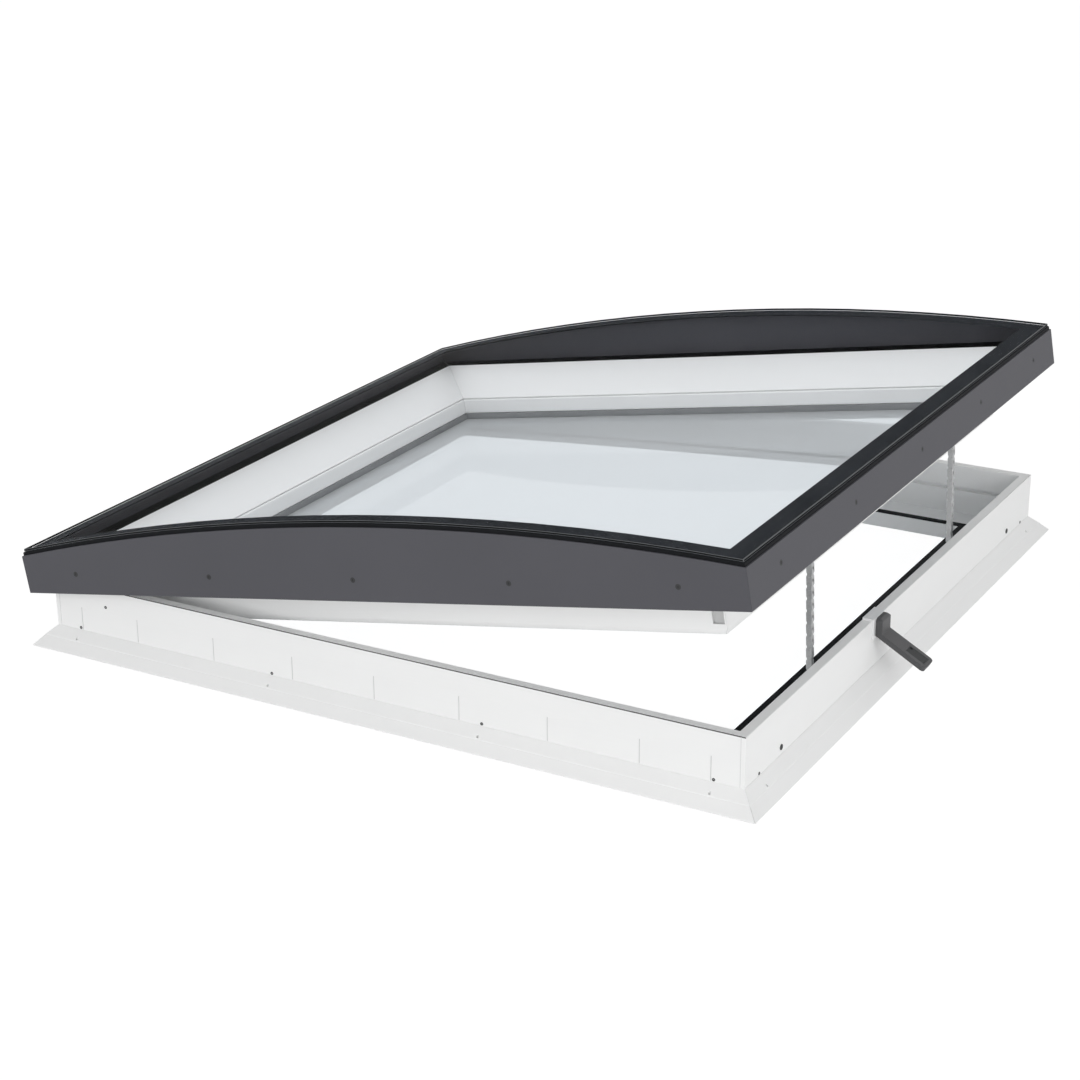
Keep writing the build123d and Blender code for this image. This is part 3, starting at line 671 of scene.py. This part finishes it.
for side in rail_sides:
    node = f"kerb_{side}_rail"
    rail = softened(node, edge=0.0008, skip=is_fine)
    smooth(rail, crisp=lambda edge: is_fine(edge, edge.calc_length()))
    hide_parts(node)
    finish_piece(rail, pvc_x if side in long_sides else pvc_y, "kerb")
    # Painted shade in the marks and the corner lines.
    second_finish(rail, pvc_groove_shade, in_mark)
    if side in long_sides:
        # Painted shade along the rim's outer edge.
        second_finish(rail, rim_painted_shade, on_rim_edge)
    greyed, lined = (sum(face.material_index == i for face in rail.data.polygons) for i in (1, 2))
    print(node, len(rail.data.polygons), "faces,", greyed, "of them greyed,", lined, "along the rim")

stand_in("kerb_seal", 0.001, black_rubber, "kerb", "black_rubber", segments=3)
print("kerb dressed")

# %% [markdown]
# The sash is the frame that swings. Its rails carry the flat glass with beads and a gasket. The same
# stand-in does for all of them; only the width of the rounded edge differs. A black sealing tape lies
# on the level top of each rail and shows as a dark line above the sloping wall. It is too thin to
# model, so the faces on top, picked by direction and height, get the rubber as a second material.
# A point of the sash is easiest to find on the closed sash, measured from a level of its own, so the
# swing that opens it is kept here. It also finds the faces in the small pockets near the opening
# corners, which get the darker PVC as painted shade, and the top face of the upper pane, which gets
# the glass that bends light.

# %% Sash rails, beads, gasket and flat glass
closed_height = 0.1303
hinge_swing = (Matrix.Translation(hinge_point) @ Matrix.Rotation(-open_angle, 4, "Y")
               @ Matrix.Translation(-hinge_point))
sash_swing = hinge_swing @ Matrix.Translation((0, 0, closed_height))
sash_up = sash_swing.to_3x3() @ Vector((0, 0, 1))
sash_right = sash_swing.to_3x3() @ Vector((1, 0, 0))
sash_unswing = sash_swing.inverted()
tape_low, tape_least = 0.057, 0.6
tape_height = (sash_swing @ Vector((0, 0, tape_low))).dot(sash_up)
pocket_floor, pocket_mouth = 0.738, 0.7456
pocket_start, pocket_end, pocket_top = 0.70, 0.746, -0.03


def looks_up(face, least):
    """Whether a face of the sash looks up at least so far: one is straight up."""
    return face.normal.dot(sash_up) > least


def under_tape(face):
    """Faces on the level top of a rail."""
    return looks_up(face, tape_least) and face.calc_center_median().dot(sash_up) > tape_height


def in_pocket(face):
    """Faces inside the pockets of the front and back rails."""
    middle = sash_unswing @ face.calc_center_median()
    sunk = pocket_floor < abs(middle.y) < pocket_mouth
    return sunk and pocket_start < middle.x < pocket_end and middle.z < pocket_top


for side in rail_sides:
    lengthwise = pvc_sash if side in long_sides else pvc_y
    rail = stand_in(f"sash_{side}_rail", 0.001, lengthwise, "sash", "white_pvc")
    stand_in(f"{side}_bead", 0.0008, lengthwise, "sash", "white_pvc")
    second_finish(rail, black_rubber, under_tape)
    if side in long_sides:
        # Painted shade in the pockets.
        second_finish(rail, pvc_pocket_shade, in_pocket)
        in_grey = sum(face.material_index == 2 for face in rail.data.polygons)
        print(rail.name, in_grey, "faces in the pocket")

for node, edge, material, slot in (
    ("glazing_gasket", 0.0012, grey_rubber, "grey_gasket"),
    ("lower_pane", 0.0006, pane_glass, "flat_glass"),
    ("upper_pane", 0.0006, pane_glass, "flat_glass"),
    ("pane_spacer", 0.0006, spacer_metal, "spacer_metal"),
):
    stand_in(node, edge, material, "sash", slot)
second_finish(bpy.data.objects["upper_pane_soft"], pane_top, lambda face: looks_up(face, straight))
print("sash dressed")

# %% [markdown]
# The skirt is folded sheet with an arched top at the front and back. Each side is held by five
# countersunk screws. A screw that only lies on the sheet would look stuck on, so the stand-in gets
# real countersinks: a cone is modelled once, copied to the five places, joined and cut out of the
# skirt with a Boolean. The cones are placed on the closed sash and then swung open with it.

# %% Skirt with countersunk holes
screw_places = (-0.72, -0.36, 0.0, 0.36, 0.72)
screw_height = 0.045
head_radius = 0.006
sink_foot, sink_margin, sink_depth, sink_middle = 0.0028, 0.0014, 0.003, -0.0013
side_turn = {"front": 0, "opening": 90, "back": 180, "hinge": 270}


def on_skirt(side, along, height):
    """Place on a skirt's outer face: z points out of the face, y up."""
    turn = Matrix.Rotation(math.radians(side_turn[side]), 4, "Z")
    face = Matrix.Translation((along, -cover_half, height)) @ Matrix.Rotation(math.radians(90), 4, "X")
    return sash_swing @ turn @ face


def placed_copy(source, name, place):
    """A copy with its own mesh, moved by its mesh so that its object stays at the origin."""
    copy = bpy.data.objects.new(name, source.data.copy())
    bpy.context.scene.collection.objects.link(copy)
    copy.data.transform(place)
    return copy


def joined(pieces, name):
    """Joins pieces into one."""
    bpy.ops.object.select_all(action="DESELECT")
    for piece in pieces:
        piece.select_set(True)
    bpy.context.view_layer.objects.active = pieces[0]
    bpy.ops.object.join()
    pieces[0].name = name
    return pieces[0]


bpy.ops.object.select_all(action="DESELECT")
bpy.ops.mesh.primitive_cone_add(vertices=28, radius1=sink_foot, radius2=head_radius + sink_margin,
                                depth=sink_depth, location=(0, 0, sink_middle))
sink = bpy.context.active_object
bpy.ops.object.transform_apply(location=True)

for side in side_turn:
    node = f"{side}_skirt"
    sheet = softened(node, edge=0.0008)
    cutter = joined([placed_copy(sink, f"{side}_sink_{i}", on_skirt(side, along, screw_height))
                     for i, along in enumerate(screw_places)], f"{side}_sinks")
    apply_modifier(sheet, "BOOLEAN", object=cutter, operation="DIFFERENCE", solver="EXACT")
    bpy.data.objects.remove(cutter)
    smooth(sheet)
    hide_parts(node)
    finish_piece(sheet, grey_coat, "sash")
    print(node, len(sheet.data.polygons), "faces")
bpy.data.objects.remove(sink)

# %% [markdown]
# A countersunk screw head is a shallow disc with a cross-shaped recess. It starts as a cylinder; its
# top edge is bevelled, its under edge is drawn in to a cone, and two thin tapered blocks cut the
# cross. It is modelled once, lying in the XY plane with its top a little under zero, and then copied.

# %% Countersunk screws
head_foot_share, head_edge_share = 0.44, 0.08
blade_length, blade_width, blade_depth, blade_taper = 1.15, 0.22, 1.1, 0.7
same_height = 1e-6


def cross_head(radius, thickness, sunk):
    """A countersunk screw head with a cross recess, its top sunk below z = 0."""
    bpy.ops.object.select_all(action="DESELECT")
    bpy.ops.mesh.primitive_cylinder_add(vertices=28, radius=radius, depth=thickness,
                                        location=(0, 0, -sunk - thickness / 2))
    head = bpy.context.active_object
    bpy.ops.object.transform_apply(location=True)
    bpy.ops.object.mode_set(mode="EDIT")
    pick_faces(head, lambda face: face.normal.z < -straight)
    bpy.ops.transform.resize(value=(head_foot_share, head_foot_share, 1))
    pick_edges(head, lambda edge: all(abs(v.co.z + sunk) < same_height for v in edge.verts))
    bpy.ops.mesh.bevel(offset=radius * head_edge_share, segments=2, affect="EDGES")
    bpy.ops.object.mode_set(mode="OBJECT")
    blades = []
    for turn in (0, 90):
        bpy.ops.object.select_all(action="DESELECT")
        bpy.ops.mesh.primitive_cube_add(
            size=1, location=(0, 0, -sunk), rotation=(0, 0, math.radians(turn)),
            scale=(radius * blade_length, radius * blade_width, thickness * blade_depth))
        blade = bpy.context.active_object
        bpy.ops.object.transform_apply()
        bpy.ops.object.mode_set(mode="EDIT")
        pick_faces(blade, lambda face: face.normal.z < -straight)
        bpy.ops.transform.resize(value=(blade_taper, blade_taper, 1))
        bpy.ops.object.mode_set(mode="OBJECT")
        blades.append(blade)
    for blade in blades:
        apply_modifier(head, "BOOLEAN", object=blade, operation="DIFFERENCE", solver="EXACT")
        bpy.data.objects.remove(blade)
    smooth(head, angle=35)
    return head


skirt_head = cross_head(head_radius, thickness=0.0019, sunk=0.0006)
for side in side_turn:
    heads = [placed_copy(skirt_head, f"{side}_head_{i}", on_skirt(side, along, screw_height))
             for i, along in enumerate(screw_places)]
    screws = joined(heads, f"{side}_skirt_screws")
    finish_piece(screws, plug_black, "sash")
bpy.data.objects.remove(skirt_head)
print("skirt screws:", len(screw_places) * len(side_turn))

# %% [markdown]
# The curved glass lies on a black seal, with its black border printed underneath. The faces round the
# edge of the glass are picked by their direction: those that look sideways get the dark finish and the
# bevels the ground one, in a lighter grey that is a painted highlight. The thin print keeps the CAD
# node and only gets its finish. The cleats hold the skirt's corners from inside and are plain steel.

# %% Curved glass, seal, border and cleats
for node, edge, material, slot in (
    ("curved_glass", 0.0016, bent_glass, "curved_glass"),
    ("dome_seal", 0.0008, black_rubber, "black_rubber"),
    ("skirt_cleats", 0.0005, steel, "grey_skirt"),
):
    stand_in(node, edge, material, "sash", slot, shortest=0.0025)


def dress_node(node, material):
    """Puts a finish on a CAD node that stays as it is."""
    mesh = frame["nodes"][node].data
    mesh.materials.clear()
    mesh.materials.append(material)


dress_node("glass_border", black_print)
arris_least, side_least = 0.4, 0.95


def sideways(face):
    """How far a face of the sash looks to a side: one for an upright face."""
    return max(abs(face.normal.y), abs(face.normal.dot(sash_right)))


bent_pane = bpy.data.objects["curved_glass_soft"]
# Painted highlight on the arris.
second_finish(bent_pane, arris_painted_highlight, lambda face: arris_least < sideways(face) < side_least)
second_finish(bent_pane, glass_side, lambda face: sideways(face) >= side_least)
print("curved glass dressed")

# %% [markdown]
# Hinges, brackets, drives, clip and sensor are small parts with plain edges. Each gets its
# stand-in with an edge of its own kind: folded steel is sharper than moulded plastic. The pins are
# round already, so they keep their CAD nodes and only get the steel.

# %% Hinges, drives, brackets, clip and sensor
for node, edge, material, body, slot in (
    ("hinge_kerb_leaves", 0.0005, steel, "kerb", "steel"),
    ("hinge_sash_leaves", 0.0005, steel, "sash", "steel"),
    ("chain_brackets", 0.0005, steel, "sash", "steel"),
    ("front_drive_housing", 0.0006, housing_metal, "kerb", "drive_housing"),
    ("back_drive_housing", 0.0006, housing_metal, "kerb", "drive_housing"),
    ("drive_end_caps", 0.0008, cap_grey, "kerb", "drive_caps"),
    ("sensor_clip", 0.0006, clip_metal, "kerb", "clip_metal"),
    ("sensor_body", 0.0014, sensor_grey, "kerb", "sensor_plastic"),
    ("sensor_pad", 0.0003, pad_face, "kerb", "sensor_pad"),
):
    stand_in(node, edge, material, body, slot)

for node in ("hinge_pins", "chain_bracket_pins"):
    dress_node(node, steel)
print("small parts dressed")

# %% [markdown]
# A push chain is a run of links that can bend only one way: pairs of outer plates, blocks between
# them and a pin at each joint. The CAD chain has pointed plates to save faces. Here one round-ended
# plate is made from a cylinder whose upper half is moved by one pitch, and one pin from a cylinder
# with bevelled ends; both are copied along the run. The chain folds away when the sash closes, but
# here it keeps its open shape.

# %% Push chains
chain_places = [(side, middle_of(f"{side}_chain").y) for side in long_sides]
chain_outlet_height = sash_hinge["deforming_nodes"][0]["fixed_end_z_m"]
chain_line, chain_foot_lift = 0.770, 0.0065
chain_foot = Vector((chain_line, 0, chain_outlet_height + chain_foot_lift))
chain_closed_eye = Vector((0.769, 0, 0.0853))
chain_eye = hinge_swing @ chain_closed_eye
chain_links = 22
chain_end, end_half = 0.014, 0.005
plate_half, core_half = 0.0072, 0.0062
plate_thick, core_thick = 0.0025, 0.007
plate_edge, core_edge = 0.0004, 0.0006
pin_radius, pin_overhang, pin_edge_share = 0.0022, 0.0012, 0.3
plate_corners, steep_angle = 16, math.radians(60)
chain_axis = (chain_eye - chain_foot).normalized()
chain_run = (chain_eye - chain_foot).length
chain_pitch = (chain_run - chain_end) / chain_links
chain_lean = Matrix.Translation(chain_foot) @ chain_axis.to_track_quat("Z", "Y").to_matrix().to_4x4()


def round_plate(thickness, half, length, edge):
    """A link plate across X with round ends at z = 0 and z = length."""
    bpy.ops.object.select_all(action="DESELECT")
    bpy.ops.mesh.primitive_cylinder_add(vertices=plate_corners, radius=half, depth=thickness,
                                        rotation=(math.pi / plate_corners, math.radians(90), 0))
    plate = bpy.context.active_object
    bpy.ops.object.transform_apply()
    bpy.ops.object.mode_set(mode="EDIT")
    bpy.ops.mesh.select_mode(type="VERT")
    bpy.ops.mesh.select_all(action="DESELECT")
    mesh = bmesh.from_edit_mesh(plate.data)
    for vert in mesh.verts:
        vert.select_set(vert.co.z > 0)
    bmesh.update_edit_mesh(plate.data)
    bpy.ops.transform.translate(value=(0, 0, length))
    pick_edges(plate, lambda edge_seen: edge_seen.calc_face_angle(0) > steep_angle)
    bpy.ops.mesh.bevel(offset=edge, segments=1, affect="EDGES")
    bpy.ops.object.mode_set(mode="OBJECT")
    return plate


def chain_pin(radius, length):
    """A pin across X with bevelled ends."""
    bpy.ops.object.select_all(action="DESELECT")
    bpy.ops.mesh.primitive_cylinder_add(vertices=12, radius=radius, depth=length,
                                        rotation=(0, math.radians(90), 0))
    pin = bpy.context.active_object
    bpy.ops.object.transform_apply()
    bpy.ops.object.mode_set(mode="EDIT")
    pick_edges(pin, lambda edge_seen: edge_seen.calc_face_angle(0) > steep_angle)
    bpy.ops.mesh.bevel(offset=radius * pin_edge_share, segments=1, affect="EDGES")
    bpy.ops.object.mode_set(mode="OBJECT")
    return pin


outer_plate = round_plate(plate_thick, plate_half, chain_pitch, plate_edge)
inner_block = round_plate(core_thick, core_half, chain_pitch, core_edge)
link_pin = chain_pin(pin_radius, core_thick + 2 * plate_thick + pin_overhang)
end_plate = round_plate(core_thick, end_half, chain_end, core_edge)
plate_offset = (core_thick + plate_thick) / 2

for name, along in chain_places:
    base = Matrix.Translation((0, along, 0)) @ chain_lean
    links = []
    for i in range(chain_links):
        step = base @ Matrix.Translation((0, 0, i * chain_pitch))
        if i % 2:
            links.append(placed_copy(inner_block, "link", step))
        else:
            for sign in (-1, 1):
                links.append(placed_copy(outer_plate, "link",
                                         step @ Matrix.Translation((sign * plate_offset, 0, 0))))
        links.append(placed_copy(link_pin, "link", step))
    last = base @ Matrix.Translation((0, 0, chain_links * chain_pitch))
    links += [placed_copy(link_pin, "link", last), placed_copy(end_plate, "link", last)]
    chain = joined(links, f"{name}_push_chain")
    smooth(chain, angle=35)
    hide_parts(f"{name}_chain")
    finish_piece(chain, steel, "kerb")
    shift = chain_eye - chain_closed_eye
    foot = Vector((chain_foot.x, along, chain_outlet_height))
    reach = (Vector((chain_eye.x, along, chain_eye.z)) - foot).dot(shift.normalized())
    1 - shift.length / reach
    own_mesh(chain)
    print(chain.name, len(chain.data.polygons), "faces")
for pattern in (outer_plate, inner_block, link_pin, end_plate):
    bpy.data.objects.remove(pattern)

# %% [markdown]
# The cable entries on the opening side are closed with round plugs. The CAD plug is a plain disc; the
# real one has a rolled rim and a dished face with a slot. It starts as a cylinder whose outer face is
# inset and pushed in, and whose rim is bevelled.

# %% Cable plugs
dish_share, dish_depth, rim_share = 0.25, 0.7, 0.07
rim_angle = math.radians(40)
slot_length, slot_width, slot_lift = 1.1, 0.2, 0.2
plug_places, plug_height = (-0.655, 0.655), 0.060


def round_plug(radius, depth, stand):
    """A dished plug with a rolled rim; its face stands proud of z = 0."""
    bpy.ops.object.select_all(action="DESELECT")
    bpy.ops.mesh.primitive_cylinder_add(vertices=32, radius=radius, depth=depth + stand,
                                        location=(0, 0, (stand - depth) / 2))
    plug = bpy.context.active_object
    bpy.ops.object.transform_apply(location=True)
    bpy.ops.object.mode_set(mode="EDIT")
    pick_faces(plug, lambda face: face.normal.z > straight)
    bpy.ops.mesh.inset(thickness=radius * dish_share)
    bpy.ops.transform.translate(value=(0, 0, -stand * dish_depth))
    pick_edges(plug, lambda edge: edge.calc_face_angle(0) > rim_angle
               and edge.verts[0].co.z > 0)
    bpy.ops.mesh.bevel(offset=radius * rim_share, segments=2, affect="EDGES")
    bpy.ops.object.mode_set(mode="OBJECT")
    bpy.ops.object.select_all(action="DESELECT")
    bpy.ops.mesh.primitive_cube_add(size=1, location=(0, 0, stand * slot_lift),
                                    scale=(radius * slot_length, radius * slot_width, stand))
    slot = bpy.context.active_object
    bpy.ops.object.transform_apply()
    apply_modifier(plug, "BOOLEAN", object=slot, operation="DIFFERENCE", solver="EXACT")
    bpy.data.objects.remove(slot)
    smooth(plug, angle=35)
    return plug


plug = round_plug(radius=0.006, depth=0.003, stand=0.0015)
outwards = Matrix.Rotation(math.radians(90), 4, "Y")
plugs = joined([placed_copy(plug, f"plug_{i}",
                            Matrix.Translation((kerb_half, along, plug_height)) @ outwards)
                for i, along in enumerate(plug_places)], "cable_plugs_dished")
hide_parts("cable_plugs")
finish_piece(plugs, plug_black, "kerb")
bpy.data.objects.remove(plug)
print("plugs:", len(plugs.data.polygons), "faces")

# %% [markdown]
# Small dots show at the foot of the kerb's walls, above each hole in the flange: drain holes with
# black stoppers. They are too small for the CAD part, so the plug is made again at their size and
# copied to its places. One more closes a hole higher up on the front wall, and a white one a hole in
# the sloping face of the sash. A wall of the kerb is reached by a turn about Z, like a side of the skirt.

# %% Stoppers
long_spots, short_spots = (-0.756, -0.252, 0.252, 0.756), (-0.756, 0.756)
foot_height = 0.0485
high_spot, high_height = -0.683, 0.110
slope_spot, slope_angle = (-0.660, 0.776, 0.0244), math.radians(41.1)


def on_wall(side, along, height):
    """Place on a kerb wall's outer face: z points out of the face, y up."""
    turn = Matrix.Rotation(math.radians(side_turn[side]), 4, "Z")
    face = Matrix.Translation((along, -kerb_half, height)) @ Matrix.Rotation(math.radians(90), 4, "X")
    return turn @ face


stopper = round_plug(radius=0.0033, depth=0.001, stand=0.0007)
stopper_places = []
for side in side_turn:
    spots = long_spots if side in long_sides else short_spots
    stopper_places += [on_wall(side, along, foot_height) for along in spots]
stopper_places.append(on_wall("front", high_spot, high_height))
stoppers = joined([placed_copy(stopper, f"stopper_{i}", place)
                   for i, place in enumerate(stopper_places)], "wall_stoppers")
finish_piece(stoppers, plug_black, "kerb")

slope_turn = Matrix.Rotation(slope_angle, 4, "X")
slope_place = sash_swing @ Matrix.Translation(slope_spot) @ slope_turn
slope_stopper = placed_copy(stopper, "slope_stopper", slope_place)
finish_piece(slope_stopper, pvc_x, "sash")
bpy.data.objects.remove(stopper)
print("stoppers:", len(stopper_places) + 1)

# %% [markdown]
# Small steel screws hold the hinge leaves, the chain brackets and the drives' end caps, and one black
# screw holds the sensing pad. They are the same countersunk head in smaller sizes. These heads stand
# a little proud, so the depth below the face is negative.

# %% Small screws
leaf_places, leaf_thick, leaf_height, leaf_half = (-0.56, 0.0, 0.56), 0.003, 0.128, 0.027
leaf_face = -kerb_half - leaf_thick
bracket_face, bracket_height, bracket_half = 0.749, -0.053, 0.024
cap_place, cap_half, cap_heights = middle_of("drive_end_caps").x, 0.21, (0.044, 0.061)
arm_slope, tip_height = math.radians(29), 0.0105
sensor_low, sensor_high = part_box("sensor_body")
sensor_tip = Vector((sensor_high.x, middle_of("sensor_body").y, sensor_low.z + tip_height))
pad_screw_back, pad_screw_sunk, pad_screw_aside = 0.0495, 0.001, 0.0075


def facing(place, away):
    """Place whose z points along a direction."""
    return Matrix.Translation(place) @ Vector(away).to_track_quat("Z", "Y").to_matrix().to_4x4()


leaf_head = cross_head(radius=0.0042, thickness=0.0016, sunk=-0.0006)
kerb_spots, sash_spots = [], []
for along in leaf_places:
    kerb_spots += [facing((leaf_face, along + sign * leaf_half, leaf_height), (-1, 0, 0))
                   for sign in (-1, 1)]
for _, along in chain_places:
    for sign in (-1, 1):
        spot = (bracket_face, along + sign * bracket_half, bracket_height)
        sash_spots.append(sash_swing @ facing(spot, (1, 0, 0)))
    for end in (-1, 1):
        kerb_spots += [facing((cap_place, along + end * cap_half, height), (0, end, 0))
                       for height in cap_heights]
for name, body, spots in (("kerb_fixings", "kerb", kerb_spots), ("sash_fixings", "sash", sash_spots)):
    fixings = joined([placed_copy(leaf_head, f"{name}_{i}", place)
                      for i, place in enumerate(spots)], name)
    finish_piece(fixings, steel, body)
bpy.data.objects.remove(leaf_head)

pad_head = cross_head(radius=0.0034, thickness=0.0012, sunk=-0.0006)
arm_away = Vector((math.sin(arm_slope), 0, math.cos(arm_slope)))
arm_down = Vector((math.cos(arm_slope), 0, -math.sin(arm_slope)))
pad_place = (sensor_tip - arm_down * pad_screw_back - arm_away * pad_screw_sunk
             + Vector((0, pad_screw_aside, 0)))
pad_screw = placed_copy(pad_head, "pad_screw", facing(pad_place, arm_away))
finish_piece(pad_screw, black_rubber, "kerb")
bpy.data.objects.remove(pad_head)
print("small screws:", len(kerb_spots) + len(sash_spots) + 1)
